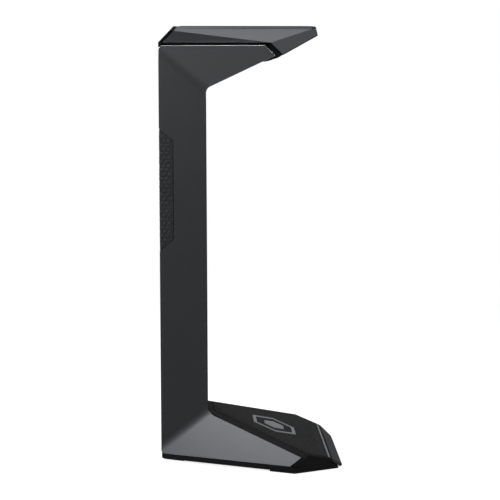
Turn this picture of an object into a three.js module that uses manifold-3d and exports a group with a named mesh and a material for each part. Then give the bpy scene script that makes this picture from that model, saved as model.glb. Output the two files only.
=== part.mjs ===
// Desktop headphone stand: a slim column with a faceted arm above a wedge-shaped, weighted base.
// Millimetres. +Z is up, -Y is the front, and the origin is the centre of the footprint on the table.
// The stand is the same left and right, so key points give x as a half-width.

import * as THREE from 'three';
import { ConvexGeometry } from 'three/addons/geometries/ConvexGeometry.js';
import { mergeVertices } from 'three/addons/utils/BufferGeometryUtils.js';
import Module from 'manifold-3d';

const wasm = await Module();
wasm.setup();

// ---------------------------------------------------------------- driving dimensions

const GAP = 0.3;
const REACH = 80;                       // half-length of cutting prisms, wider than the stand

// Column
const REAR = 57.1;
const COLUMN_HALF = 11;
const COLUMN_FRONT_TOP = 27.6;
const COLUMN_FRONT_FOOT = 27.0;
const SKIN = 2.2;                       // sideways thickness of the side panels

// Creases where the side panels fold outward, as [y, z] at the rear and at the front
const ARM_CREASE = [[REAR, 259.5], [COLUMN_FRONT_TOP, 236.0]];
const BASE_CREASE = [[REAR, 9.0], [COLUMN_FRONT_FOOT, 32.35]];

// Arm side panel: its front corners, the slope of its underside and the fillet at the column
const ARM_CORNER = { y: -7.4, z: 263.7, half: 35.0 };
const ARM_POINT = { y: -13.7, z: 257.4 };
const ARM_UNDERSIDE = { y: 23.7, z: 238.67, slope: 0.497 };
const ARM_FILLET = 4.5;
const ARM_TOP_REAR = 263.2;

// Base side panel: the bend in its upper edge, its front end and its lower edge
const BASE_KNEE = { y: 24.2, z: 29.35 };
const BASE_TOE = { y: -30.0, z: 10.35 };
const BASE_CORNER = { y: -22.8, z: 4.6, half: 47.0 };

// Notch in the rear edge of each side panel, filled by the grip band
const NOTCH = { low: 134.8, lowInner: 142.4, highInner: 204.5, high: 212.2, depth: 9.0 };
const BAND_RECESS = 0.35;
const BAND_WALL = 1.7;
const BAND_TONGUE = { reach: 2.0, wall: 1.0 };

// Top cap: corners as [half-width, y, z], and the front end of its two tip facets in side view
const CAP_TOP = 273.3;
const CAP = {
  topRear: [28.0, 49.05, CAP_TOP],
  topFront: [24.0, -36.6, CAP_TOP],
  tipLow: [24.0, -19.0, 258.0],
  widest: [37.0, -10.8, 265.3],
  rearLow: [12.9, REAR, 265.0],
};
const SHOULDER = { y: 49.8, z: 272.5 };
const NOSE = { topY: -39.2, lowY: -40.4, lowZ: 269.6 };
const CAP_CEILING = 270.6;
const CAP_SKIRT = { low: 261.6, high: 266.0, wall: 1.6, front: -3.8, rear: 54.3 };
const WING_WALL = 2.0;                  // sideways thickness of the tip facets
const KEEL_PROUD = 0.65;                // how far the black keel shows beyond the tip facets
const REAR_PLATE = { thickness: 1.5, low: 262.2, flange: 2.2, waist: 263.5, rib: 1.0, ribHalf: 3.0 };
const CAP_HOLLOW = [
  [22.0, 41.0, CAP_CEILING],
  [22.4, -6.0, CAP_CEILING],
  [28.0, -6.0, 268.0],
  [31.0, -6.0, 263.0],
  [8.8, 50.0, 266.2],
  [8.8, 50.4, 263.0],
];

// Low rim round the hood's flat top, and the rubber pad let into it
const RIM_TOP = 274.8;
const RIM_LOW_OUTLINE = [[28.0, 49.05], [24.0, -36.6], [21.8, -39.75]];
const RIM_TOP_OUTLINE = [[27.7, 47.6], [23.75, -36.45], [21.6, -39.15]];
const HEADBAND_PAD = { low: 273.4, top: 275.0 };
const HEADBAND_OUTLINE = [[26.0, 43.4], [22.1, -35.9], [20.4, -37.6]];

// Black block at the end of the arm: its front corners, and its height at the rear
const TIP_BLOCK = [
  [28.0, -7.0, 253.6],
  [27.6, -9.8, 254.0],
  [25.4, -16.0, 256.0],
  [23.4, -18.9, 257.6],
  [33.6, -10.8, 264.5],
];
const TIP_BLOCK_REAR = { low: 253.9, high: 264.3 };

// Base deck: a plane that slopes down to the front, then a steeper front lip
const DECK = { y: 23.2, z: 31.57, slope: 0.331 };
const DECK_REAR = 26.6;
const deckZ = (y) => DECK.z + DECK.slope * (y - DECK.y);
const BASE = {
  deckRear: [11.2, DECK_REAR, deckZ(DECK_REAR)],
  deckWide: [49.1, -34.2, deckZ(-34.2)],
  deckFront: [40.2, -50.1, deckZ(-50.1)],
  lipFront: [33.3, -57.1, 1.5],
  groundFront: [36.2, -54.8, 0],
  groundWide: [48.1, -25.5, 0],
};
const PAD = { rear: 23.2, rearHalf: 9.3, wideHalf: 46.8, wideY: -33.9, frontHalf: 38.7, frontY: -46.6 };
const PAD_THICKNESS = 1.3;
const PAD_PROUD = 0.25;
const TRIM = { y: -48.1, width: 1.0, thickness: 0.9, half: 38.6, proud: 0.25 };
const LIP_THICKNESS = 1.6;
const DECK_WALL = 2.2;
const PANEL_TOP_RISE = 0.45;            // how far the base's rim stands above the side panels
const PLATE = { low: 0.8, high: 4.2, chamfer: 1.1 };
const DECK_LOW = PLATE.high + GAP;
const EMBLEM = { y: -16, radius: 16.5, ring: 2.6, core: 7.5, thickness: 0.5, proud: 0.15 };

// Inner structure
const LINER = { recess: 0.6, wall: 2.4, end: -4.3 };
const COVER_WALL = 2.3;
const SPINE = { half: 6.5, rear: 44, wall: 3, top: 260.3, armEnd: 0, low: 4.6, baseEnd: 13 };
const BALLAST = { rear: 6, front: -30, thickness: 5.4, rearHalf: 25, frontHalf: 40 };
const BOSS = { base: 3.4, cap: 3.2 };

// Feet and screws
const FOOT = { height: 1.4, pocket: 0.3 };
const SCREW = { head: 3.0, headHeight: 2.0, shank: 1.5, recess: 1.3, bevel: 0.3, point: 0.6, segments: 16 };
const BASE_SCREWS = [[15, 12], [-15, 12], [19, -38], [-19, -38]];
const COLUMN_SCREWS = [36, 22];
const CAP_SCREWS = [30, 8];
const SCREW_LENGTH = { base: 6.5, column: 9, cap: 9 };
const REAR_FOOT = [[10.6, 55.2], [16.4, 42.8], [-16.4, 42.8], [-10.6, 55.2]];
const FRONT_FOOT = [[41.2, -10.6], [47.6, -25.8], [36.4, -54.2], [20, -54.2], [33, -26], [29, -10.6]];

// ---------------------------------------------------------------- solids

// A three.js geometry with closed faces becomes a solid that can be joined and cut.
function solid(geometry) {
  const bare = geometry.index ? geometry.toNonIndexed() : geometry.clone();
  bare.deleteAttribute('normal');
  bare.deleteAttribute('uv');
  const merged = mergeVertices(bare, 1e-4);
  return new wasm.Manifold(new wasm.Mesh({
    numProp: 3,
    vertProperties: new Float32Array(merged.attributes.position.array),
    triVerts: new Uint32Array(merged.index.array),
  }));
}

function toGeometry(body) {
  const mesh = body.getMesh();
  const geometry = new THREE.BufferGeometry();
  geometry.setAttribute('position', new THREE.BufferAttribute(mesh.vertProperties, 3));
  geometry.setIndex(new THREE.BufferAttribute(mesh.triVerts, 1));
  geometry.computeVertexNormals();
  return geometry;
}

// The smallest convex solid around a list of [x, y, z] points.
function hull(points) {
  return solid(new ConvexGeometry(points.map(([x, y, z]) => new THREE.Vector3(x, y, z))));
}

const mirrored = (points) => points.flatMap(([x, y, z]) => [[x, y, z], [-x, y, z]]);

function shapeOf(outline) {
  return new THREE.Shape(outline.map(([u, v]) => new THREE.Vector2(u, v)));
}

// A side-view outline of [y, z] points, extruded from x0 to x1.
function prism(outline, x0 = -REACH, x1 = REACH) {
  const geometry = new THREE.ExtrudeGeometry(shapeOf(outline), { depth: x1 - x0, bevelEnabled: false });
  const axes = new THREE.Matrix4().makeBasis(
    new THREE.Vector3(0, 1, 0),
    new THREE.Vector3(0, 0, 1),
    new THREE.Vector3(1, 0, 0),
  );
  geometry.applyMatrix4(axes.setPosition(x0, 0, 0));
  return solid(geometry);
}

// A plan-view outline of [x, y] points, extruded from z0 to z1.
function slab(outline, z0, z1) {
  const geometry = new THREE.ExtrudeGeometry(shapeOf(outline), { depth: z1 - z0, bevelEnabled: false });
  geometry.translate(0, 0, z0);
  return solid(geometry);
}

function cylinder(x, y, z0, z1, radius) {
  const geometry = new THREE.CylinderGeometry(radius, radius, z1 - z0, SCREW.segments);
  geometry.rotateX(Math.PI / 2);
  geometry.translate(x, y, (z0 + z1) / 2);
  return solid(geometry);
}

function joined(bodies) {
  return bodies.reduce((whole, body) => whole.add(body));
}

// Points of an arc that rounds the corner at `corner` between the directions of `before` and `after`.
function rounded(before, corner, after, radius, steps = 6) {
  const c = new THREE.Vector2(...corner);
  const toBefore = new THREE.Vector2(...before).sub(c).normalize();
  const toAfter = new THREE.Vector2(...after).sub(c).normalize();
  const half = Math.acos(THREE.MathUtils.clamp(toBefore.dot(toAfter), -1, 1)) / 2;
  const inward = toBefore.clone().add(toAfter).normalize();
  const centre = c.clone().addScaledVector(inward, radius / Math.sin(half));
  const reach = radius / Math.tan(half);
  const start = c.clone().addScaledVector(toBefore, reach).sub(centre);
  const end = c.clone().addScaledVector(toAfter, reach).sub(centre);
  let sweep = end.angle() - start.angle();
  if (sweep > Math.PI) {
    sweep -= 2 * Math.PI;
  }
  if (sweep < -Math.PI) {
    sweep += 2 * Math.PI;
  }
  const points = [];
  for (let i = 0; i <= steps; i += 1) {
    const turn = start.clone().rotateAround(new THREE.Vector2(), (sweep * i) / steps);
    points.push([centre.x + turn.x, centre.y + turn.y]);
  }
  return points;
}

// ---------------------------------------------------------------- the folded side surface

// Height of a crease line at y.
function creaseZ([[y0, z0], [y1, z1]], y) {
  return z0 + ((z1 - z0) * (y - y0)) / (y1 - y0);
}

// Half-width of a facet that folds outward about a crease and passes through a corner.
function flare(crease, corner) {
  const [[y0, z0], [y1, z1]] = crease;
  const away = (y, z) => (y - y0) * (z1 - z0) - (z - z0) * (y1 - y0);
  const rate = (corner.half - COLUMN_HALF) / away(corner.y, corner.z);
  return (y, z) => COLUMN_HALF + rate * away(y, z);
}

const armHalf = flare(ARM_CREASE, ARM_CORNER);
const baseHalf = flare(BASE_CREASE, BASE_CORNER);
const columnHalf = () => COLUMN_HALF;

// Side-view regions over which each of the three side surfaces holds. The facets are wider than the
// column wherever they meet it, so the column's region can run on through them.
const FAR_REAR = 66;
const FAR_FRONT = -36;
const REGIONS = [
  [columnHalf, [
    [FAR_REAR, -6],
    [FAR_REAR, 282],
    [20, 282],
    [20, -6],
  ]],
  [armHalf, [
    [FAR_REAR, creaseZ(ARM_CREASE, FAR_REAR)],
    [FAR_REAR, 282],
    [FAR_FRONT, 282],
    [FAR_FRONT, creaseZ(ARM_CREASE, FAR_FRONT)],
  ]],
  [baseHalf, [
    [FAR_REAR, creaseZ(BASE_CREASE, FAR_REAR)],
    [FAR_REAR, -6],
    [FAR_FRONT, -6],
    [FAR_FRONT, creaseZ(BASE_CREASE, FAR_FRONT)],
  ]],
];

// The whole C-shaped body out to `inset` inside its side surfaces.
function core(inset) {
  return joined(REGIONS.map(([half, region]) => hull(
    mirrored(region.map(([y, z]) => [half(y, z) - inset, y, z])),
  )));
}

// Height of the arm's underside at y.
const undersideZ = (y) => ARM_UNDERSIDE.z + ARM_UNDERSIDE.slope * (ARM_UNDERSIDE.y - y);

// Half-width of the facet through three corners given as [half-width, y, z].
function facet(corners) {
  const plane = new THREE.Plane().setFromCoplanarPoints(...corners.map((c) => new THREE.Vector3(...c)));
  const { x, y: slopeY, z: slopeZ } = plane.normal;
  return (y, z) => -(plane.constant + slopeY * y + slopeZ * z) / x;
}

const tipHalf = facet([CAP.widest, CAP.topFront, CAP.tipLow]);
const brightHalf = facet([CAP.widest, CAP.topFront, CAP.topRear]);
const shoulder = [brightHalf(SHOULDER.y, SHOULDER.z), SHOULDER.y, SHOULDER.z];
const noseLow = [tipHalf(NOSE.lowY, NOSE.lowZ), NOSE.lowY, NOSE.lowZ];
const noseTop = [tipHalf(NOSE.topY, CAP_TOP), NOSE.topY, CAP_TOP];
const PLAN = [[-REACH, -REACH], [REACH, -REACH], [REACH, REACH], [-REACH, REACH]];
const slabAll = (z0, z1) => slab(PLAN, z0, z1);
const mirrorPlan = (outline) => outline.map(([x, y]) => [-x, y]).reverse();

// ---------------------------------------------------------------- side panels

const notchOutline = (inset) => [
  [REAR - inset, NOTCH.low + 1.2 * inset],
  [REAR - NOTCH.depth + inset, NOTCH.lowInner + 0.5 * inset],
  [REAR - NOTCH.depth + inset, NOTCH.highInner - 0.5 * inset],
  [REAR - inset, NOTCH.high - 1.2 * inset],
];

function panelOutline() {
  const foot = [COLUMN_FRONT_FOOT, BASE_CREASE[1][1]];
  const inner = [COLUMN_FRONT_TOP, undersideZ(COLUMN_FRONT_TOP)];
  const point = [ARM_POINT.y, ARM_POINT.z];
  const corner = [ARM_CORNER.y, ARM_CORNER.z];
  const topRear = [REAR, ARM_TOP_REAR];
  const lowRear = [REAR, BASE_CORNER.z];
  return [
    ...rounded([REAR, NOTCH.high], topRear, corner, 3),
    corner,
    point,
    ...rounded(point, inner, foot, ARM_FILLET, 10),
    foot,
    [BASE_KNEE.y, BASE_KNEE.z],
    [BASE_TOE.y, BASE_TOE.z],
    [BASE_CORNER.y, BASE_CORNER.z],
    ...rounded([BASE_CORNER.y, BASE_CORNER.z], lowRear, [REAR, NOTCH.low], 2),
    ...notchOutline(0),
  ];
}

function sidePanels() {
  const skins = core(0).subtract(core(SKIN)).intersect(prism(panelOutline()));
  const whole = [[-REACH, -10], [REACH, -10], [REACH, 300], [-REACH, 300]];
  const side = (x0, x1) => skins.intersect(prism(whole, x0, x1));
  return { left: side(0, REACH), right: side(-REACH, 0) };
}

// ---------------------------------------------------------------- column and arm

const INNER = SKIN + GAP;               // inset of everything that sits between the side panels

function frontLiner() {
  const top = [LINER.end, undersideZ(LINER.end) + LINER.recess];
  const bend = [COLUMN_FRONT_TOP + LINER.recess, undersideZ(COLUMN_FRONT_TOP) + LINER.recess];
  const foot = [COLUMN_FRONT_FOOT + LINER.recess, SPINE.low + SPINE.wall + GAP];
  const back = [bend[0] + LINER.wall, bend[1] + LINER.wall / 2];
  const outline = [
    top,
    ...rounded(top, bend, foot, ARM_FILLET, 8),
    foot,
    [foot[0] + LINER.wall, foot[1]],
    back,
    [LINER.end, undersideZ(LINER.end) + LINER.recess + 1.15 * LINER.wall],
  ];
  return prism(outline).intersect(core(INNER));
}

// The cover steps inward behind the grip band, so that the band lies flush with it.
function rearCover() {
  const outer = REAR - 0.4;
  const step = BAND_WALL + GAP;
  const high = REAR_PLATE.low - GAP;
  const outline = [
    [outer, DECK_LOW],
    [outer, NOTCH.low - GAP],
    [outer - step, NOTCH.low - GAP],
    [outer - step, NOTCH.high + GAP],
    [outer, NOTCH.high + GAP],
    [outer, high],
    [outer - COVER_WALL, high],
    [outer - COVER_WALL, NOTCH.high + GAP + COVER_WALL],
    [outer - step - COVER_WALL, NOTCH.high + GAP + COVER_WALL],
    [outer - step - COVER_WALL, NOTCH.low - GAP - COVER_WALL],
    [outer - COVER_WALL, NOTCH.low - GAP - COVER_WALL],
    [outer - COVER_WALL, DECK_LOW],
  ];
  return prism(outline).intersect(core(INNER));
}

// A U-shaped band that wraps the back of the column and fills the notch on both sides. A tongue round
// each of its ends laps the panel from inside, so that the slit round the notch is closed.
function gripBand() {
  const inside = REAR - 0.4 - BAND_WALL;
  const tongueEnd = inside - 2 * GAP - COVER_WALL;
  const tongueHalf = COLUMN_HALF - INNER - BAND_TONGUE.wall;
  const slot = (y0, y1, half) => prism([[y0, 100], [y1, 100], [y1, 240], [y0, 240]], -half, half);
  const hollow = slot(tongueEnd, inside, COLUMN_HALF - SKIN).add(slot(0, inside - 1, tongueHalf));
  const tongue = prism(notchOutline(-BAND_TONGUE.reach))
    .intersect(core(INNER))
    .intersect(slot(0, tongueEnd, COLUMN_HALF));
  return prism(notchOutline(GAP)).intersect(core(BAND_RECESS)).add(tongue).subtract(hollow);
}

// A bent steel strap that carries the load from the arm to the base.
function spineBracket() {
  const { half, rear, wall, top, armEnd, low, baseEnd } = SPINE;
  const outline = [
    [armEnd, top],
    ...rounded([armEnd, top], [rear, top], [rear, low], 5),
    ...rounded([rear, top], [rear, low], [baseEnd, low], 5),
    [baseEnd, low],
    [baseEnd, low + wall],
    ...rounded([baseEnd, low + wall], [rear - wall, low + wall], [rear - wall, top], 2),
    ...rounded([rear - wall, low], [rear - wall, top - wall], [armEnd, top - wall], 2),
    [armEnd, top - wall],
  ];
  let strap = prism(outline, -half, half);
  for (const y of COLUMN_SCREWS) {
    strap = strap.subtract(cylinder(0, y, low - 1, low + wall + 1, SCREW.shank + GAP));
  }
  for (const y of CAP_SCREWS) {
    strap = strap.subtract(cylinder(0, y, top - wall - 1, top + 1, SCREW.shank + GAP));
  }
  return strap;
}

// The upper half of the faceted hood: a shallow wedge with a low rim round its flat top.
function capWedge() {
  const { topRear, topFront, widest, rearLow } = CAP;
  const wedge = hull(mirrored([topRear, topFront, noseTop, shoulder, widest, rearLow, noseLow]));
  const rim = hull(mirrored([
    ...RIM_LOW_OUTLINE.map(([x, y]) => [x, y, CAP_TOP]),
    ...RIM_TOP_OUTLINE.map(([x, y]) => [x, y, RIM_TOP]),
  ]));
  return wedge.add(rim);
}

// Side view of the plate that closes the hood's rear slope and hooks over the rear cover.
function rearPlateOutline(grow) {
  const [y0, z0] = [RIM_TOP_OUTLINE[0][1], RIM_TOP];
  const [, y1, z1] = CAP.rearLow;
  const along = new THREE.Vector2(y1 - y0, z1 - z0).normalize();
  const depth = REAR_PLATE.thickness + grow;
  const innerZ = (y) => z0 + ((y - y0 - depth * along.y) * along.y) / along.x - depth * along.x;
  const innerY = (z) => y0 + ((z - z0 + depth * along.x) * along.x) / along.y + depth * along.y;
  const flangeY = REAR - REAR_PLATE.flange - grow;
  return [
    [y0 + 20, z0 + grow],
    [y1 + 20, REAR_PLATE.low - grow],
    [flangeY, REAR_PLATE.low - grow],
    [flangeY, innerZ(flangeY)],
    [innerY(z0 + grow), z0 + grow],
  ].reverse();
}

function capRearPlate() {
  const { low, waist } = REAR_PLATE;
  const hook = joined([
    core(GAP).intersect(slabAll(waist, CAP.rearLow[2] + 0.1)),
    core(INNER).intersect(slabAll(low, waist)),
  ]).intersect(prism([[0, 200], [REAR, 200], [REAR, 300], [0, 300]]));
  return joined([capWedge(), hook]).intersect(prism(rearPlateOutline(0))).add(rearRib());
}

// A locating rib down the middle of the rear plate's inner face. The hood has a groove for it.
function rearRib() {
  const { rib, ribHalf, low } = REAR_PLATE;
  const hookSide = [[50, low], [REAR, low], [REAR, CAP.rearLow[2] + 0.1], [50, CAP.rearLow[2] + 0.1]];
  const space = joined([capWedge(), prism(hookSide, -ribHalf, ribHalf)]);
  return prism(rearPlateOutline(rib), -ribHalf, ribHalf).intersect(space);
}

// Side view of the space under the hood's tip that the keel fills, in two convex parts.
function keelParts(grow, reach) {
  const chin = new THREE.Vector2(NOSE.lowY - CAP.tipLow[1], NOSE.lowZ - CAP.tipLow[2]).normalize();
  const nose = new THREE.Vector2(NOSE.topY - NOSE.lowY, CAP_TOP - NOSE.lowZ).normalize();
  const below = [-reach * chin.y, reach * chin.x];
  const ahead = [-reach * nose.y, reach * nose.x];
  const roof = CAP_CEILING - GAP + grow;
  const heel = [CAP.tipLow[1] + below[0], CAP.tipLow[2] + below[1]];
  const corner = [NOSE.lowY + below[0] + ahead[0], NOSE.lowZ + below[1] + ahead[1]];
  const roofY = NOSE.lowY + ahead[0] + ((roof - NOSE.lowZ - ahead[1]) * nose.x) / nose.y;
  const shelf = NOSE.topY + 0.9 + grow;
  const top = CAP_TOP - GAP + grow;
  const topY = NOSE.topY + ahead[0] + ((top - CAP_TOP - ahead[1]) * nose.x) / nose.y;
  const under = [
    heel,
    corner,
    [roofY, roof],
    [-32 + grow, roof],
    [-13 + grow, 264.4 + grow],
    [-10.5, 264.4],
    [-10.5, 262],
  ];
  const lip = [corner, [topY, top], [shelf, top], [shelf, NOSE.lowZ - 1]];
  return [under, lip];
}

function keel(grow, reach, wall) {
  return joined(keelParts(grow, reach).map((part) => hull(
    mirrored(part.map(([y, z]) => [tipHalf(y, z) - wall, y, z])),
  )));
}

function topCap() {
  const tip = hull(mirrored([CAP.topFront, noseTop, noseLow, CAP.widest, CAP.tipLow]));
  const { low, high, wall, front, rear } = CAP_SKIRT;
  const skirtSide = prism([[front, low], [rear, low], [rear, high], [front, high]]);
  const skirt = core(INNER).subtract(core(INNER + wall)).intersect(skirtSide);
  const hollow = hull(mirrored(CAP_HOLLOW)).intersect(core(INNER + wall));
  const grooveHalf = REAR_PLATE.ribHalf + GAP;
  const groove = prism(rearPlateOutline(REAR_PLATE.rib + GAP), -grooveHalf, grooveHalf);
  let cap = joined([capWedge(), tip, skirt])
    .subtract(hollow)
    .subtract(keel(GAP, 6, WING_WALL))
    .subtract(prism(rearPlateOutline(GAP)))
    .subtract(groove)
    .subtract(slab(padPlan(GAP), HEADBAND_PAD.low - GAP, RIM_TOP + 1));
  for (const y of CAP_SCREWS) {
    const boss = cylinder(0, y, SPINE.top + GAP, CAP_CEILING + 0.5, BOSS.cap);
    cap = cap.add(boss).subtract(cylinder(0, y, SPINE.top - 1, CAP_CEILING - 1.2, SCREW.shank + GAP));
  }
  return cap;
}

// Plan outline of the rubber pad that the headband rests on.
function padPlan(grow) {
  return outset([...mirrorPlan(HEADBAND_OUTLINE), ...HEADBAND_OUTLINE], grow);
}

function headbandPad() {
  return slab(padPlan(0), HEADBAND_PAD.low, HEADBAND_PAD.top);
}

// The black block between the side panels' ends and the hood's tip. It hangs a little below the arm,
// and its keel shows as a thin line below and before the tip facets.
function tipCore() {
  const rear = LINER.end - GAP;
  const at = (y, z) => [armHalf(y, z) - INNER, y, z];
  const { low, high } = TIP_BLOCK_REAR;
  const block = hull(mirrored([...TIP_BLOCK, at(rear, low), at(rear, high)]));
  return joined([block, keel(0, KEEL_PROUD, WING_WALL + GAP)]);
}

// ---------------------------------------------------------------- base

const DECK_TILT = Math.atan(DECK.slope);

// Place of the deck plane: local x and y lie in it, and local z stands square to it.
function deckMatrix() {
  return new THREE.Matrix4().makeRotationX(DECK_TILT).setPosition(0, DECK.y, DECK.z);
}

// A plan outline of [x, y] points becomes an outline measured along the sloping deck.
const onDeck = (outline) => outline.map(([x, y]) => [x, (y - DECK.y) / Math.cos(DECK_TILT)]);

function deckSlab(outline, z0, z1) {
  const options = { depth: z1 - z0, bevelEnabled: false };
  const geometry = new THREE.ExtrudeGeometry(shapeOf(onDeck(outline)), options);
  geometry.translate(0, 0, z0);
  return geometry;
}

// The outer form of the base in front of and above the side panels.
function baseForm() {
  return hull(mirrored([
    ...Object.values(BASE),
    [BASE_CORNER.half + 0.2, BASE_CORNER.y - 0.3, BASE_CORNER.z],
    [BASE_CORNER.half + 0.2, BASE_TOE.y - 0.3, BASE_TOE.z],
    [baseHalf(DECK_REAR, 32.3), DECK_REAR, 32.3],
    [baseHalf(DECK_REAR, 4.6), DECK_REAR, 4.6],
    [baseHalf(DECK_REAR, 4.6), DECK_REAR, 0],
  ]));
}

// Side view of the base clear of the side panels: the rim above them and the nose before them.
function clearOfPanels() {
  const panelTop = [[COLUMN_FRONT_FOOT, BASE_CREASE[1][1]], [BASE_KNEE.y, BASE_KNEE.z]];
  return prism([
    [DECK_REAR, creaseZ(panelTop, DECK_REAR) + PANEL_TOP_RISE],
    [BASE_KNEE.y, BASE_KNEE.z + PANEL_TOP_RISE],
    [BASE_TOE.y, BASE_TOE.z + PANEL_TOP_RISE],
    [BASE_TOE.y - 0.35, BASE_TOE.z + 0.1],
    [BASE_CORNER.y - 0.45, DECK_LOW],
    [-REACH, DECK_LOW],
    [-REACH, 60],
    [DECK_REAR, 60],
  ].reverse());
}

// Side view of the steeper front lip: a thin slab let into the nose of the base.
function lipOutline(grow) {
  const [, y0, z0] = BASE.deckFront;
  const [, y1, z1] = BASE.lipFront;
  const along = new THREE.Vector2(y1 - y0, z1 - z0).normalize();
  const inward = new THREE.Vector2(-along.y, along.x);
  const depth = LIP_THICKNESS + grow;
  const beyond = 6;
  return [
    [y0 - 40 * inward.x, z0 - 40 * inward.y],
    [y0 + depth * inward.x + grow, z0 + depth * inward.y],
    [y1 + depth * inward.x + beyond * along.x, z1 + depth * inward.y + beyond * along.y],
    [y1 - 40 * inward.x + beyond * along.x, z1 - 40 * inward.y + beyond * along.y],
  ];
}

function frontLip() {
  return baseForm().intersect(prism(lipOutline(0))).intersect(slabAll(PLATE.low, 60));
}

const padOutline = (grow) => {
  const half = [
    [PAD.rearHalf + grow, PAD.rear + grow],
    [PAD.wideHalf + grow, PAD.wideY - 0.3 * grow],
    [PAD.frontHalf + 0.6 * grow, PAD.frontY - grow],
  ];
  return [...half, ...half.map(([x, y]) => [-x, y]).reverse()].reverse();
};

const trimOutline = (grow) => {
  const [x, y, w] = [TRIM.half + grow, TRIM.y, TRIM.width / 2 + grow];
  return [[-x, y - w], [x, y - w], [x, y + w], [-x, y + w]];
};

function onDeckPlane(geometry) {
  return solid(geometry.clone().applyMatrix4(deckMatrix()));
}

function baseDeck() {
  const visible = baseForm().intersect(clearOfPanels());
  const between = core(INNER).intersect(prism([
    [DECK_REAR, DECK_LOW],
    [DECK_REAR, 32.2],
    [BASE_TOE.y - 0.2, BASE_TOE.z],
    [BASE_TOE.y - 0.2, DECK_LOW],
  ]));
  const roof = (y) => deckZ(y) - PAD_THICKNESS - DECK_WALL;
  const wallHalf = (y, z) => baseHalf(y, z) - INNER - DECK_WALL;
  const hollow = hull(mirrored([
    [wallHalf(DECK_REAR - 2, roof(DECK_REAR - 2)), DECK_REAR - 2.2, roof(DECK_REAR - 2)],
    [wallHalf(DECK_REAR - 2, 4), DECK_REAR - 2.2, 4],
    [42.5, -30, roof(-30)],
    [43.0, -27, 4],
    [34.0, -44, roof(-44)],
    [34.0, -46, 4],
  ]));
  const padPocket = onDeckPlane(deckSlab(padOutline(GAP), PAD_PROUD - PAD_THICKNESS - GAP, 5));
  const trimPocket = onDeckPlane(deckSlab(trimOutline(GAP), TRIM.proud - TRIM.thickness - GAP, 5));
  const slot = prism([
    [DECK_REAR - 6, 0],
    [DECK_REAR + 1, 0],
    [DECK_REAR + 1, SPINE.low + SPINE.wall + GAP],
    [DECK_REAR - 6, SPINE.low + SPINE.wall + GAP],
  ], -SPINE.half - GAP, SPINE.half + GAP);
  let deck = joined([visible, between]).subtract(hollow).subtract(slot);
  for (const [x, y] of BASE_SCREWS) {
    const boss = cylinder(x, y, DECK_LOW, roof(y) + 1, BOSS.base);
    deck = deck.add(boss).subtract(cylinder(x, y, 0, Math.min(roof(y) + 0.8, 12), SCREW.shank + GAP));
  }
  return deck
    .subtract(padPocket)
    .subtract(trimPocket)
    .subtract(prism(lipOutline(GAP)));
}

// Plan outline of the base plate at the height where it meets the side panels.
function plateOutline(inset) {
  const rearHalf = baseHalf(REAR, BASE_CORNER.z) - inset;
  const half = [
    [rearHalf, REAR - 0.3 - inset],
    [BASE.groundWide[0] - inset, BASE.groundWide[1]],
    [BASE.groundFront[0] - 0.8 * inset, BASE.groundFront[1] + 0.5 * inset],
  ];
  return [...half, ...half.map(([x, y]) => [-x, y]).reverse()];
}

function basePlate() {
  const ring = (inset, z) => plateOutline(inset).map(([x, y]) => [x, y, z]);
  const [wide, front] = [BASE.groundWide, BASE.groundFront];
  const body = hull([
    ...ring(PLATE.chamfer, PLATE.low),
    ...ring(0.1, PLATE.low + PLATE.chamfer),
    ...ring(0.1, PLATE.high),
    ...mirrored([[wide[0], wide[1] - 2.9, PLATE.high], [front[0] + 1.1, front[1], PLATE.high]]),
    ...mirrored([[BASE.lipFront[0], BASE.lipFront[1], BASE.lipFront[2]]]),
  ]);
  let plate = body
    .intersect(slabAll(PLATE.low, PLATE.high))
    .subtract(prism(lipOutline(GAP)));
  for (const outline of [REAR_FOOT, FRONT_FOOT, mirrorPlan(FRONT_FOOT)]) {
    plate = plate.subtract(slab(outset(outline, GAP), -1, FOOT.height + FOOT.pocket));
  }
  for (const [x, y] of [...BASE_SCREWS, ...COLUMN_SCREWS.map((y) => [0, y])]) {
    plate = plate.subtract(cylinder(x, y, 0, PLATE.low + SCREW.headHeight + GAP, SCREW.head + GAP));
    plate = plate.subtract(cylinder(x, y, 0, PLATE.high + 1, SCREW.shank + GAP));
  }
  return plate;
}

// A plan outline moved outward by an even distance on every side.
function outset(outline, distance) {
  const area = THREE.ShapeUtils.area(outline.map(([x, y]) => new THREE.Vector2(x, y)));
  const turn = Math.sign(area);
  return outline.map((corner, i) => {
    const before = outline[(i + outline.length - 1) % outline.length];
    const after = outline[(i + 1) % outline.length];
    const a = new THREE.Vector2(corner[0] - before[0], corner[1] - before[1]).normalize();
    const b = new THREE.Vector2(after[0] - corner[0], after[1] - corner[1]).normalize();
    const normal = new THREE.Vector2(a.y + b.y, -a.x - b.x).multiplyScalar(turn);
    normal.multiplyScalar(distance / (1 + a.dot(b)));
    return [corner[0] + normal.x, corner[1] + normal.y];
  });
}

function foot(outline) {
  return slab(outline, 0, FOOT.height);
}

// A steel weight that lies on the base plate inside the deck.
function ballastPlate() {
  const { rear, front, thickness, rearHalf, frontHalf } = BALLAST;
  const outline = [[-rearHalf, rear], [-frontHalf, front], [frontHalf, front], [rearHalf, rear]];
  return slab(outline, DECK_LOW, DECK_LOW + thickness);
}

// ---------------------------------------------------------------- screws

// A countersunk-style screw standing on its head at z = 0, with a driver recess.
function screw(length) {
  const { head, headHeight, shank, recess, bevel, point, segments } = SCREW;
  const profile = [
    [0, 0],
    [head - bevel, 0],
    [head, bevel],
    [head, headHeight * 0.5],
    [shank, headHeight],
    [shank, length - point],
    [shank - point, length],
    [0, length],
  ].map(([r, z]) => new THREE.Vector2(r, z));
  const turned = new THREE.LatheGeometry(profile, segments);
  turned.rotateX(Math.PI / 2);
  const socket = new THREE.CylinderGeometry(recess, recess, headHeight, 6);
  socket.rotateX(Math.PI / 2);
  return solid(turned).subtract(solid(socket));
}

// ---------------------------------------------------------------- materials

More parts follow.
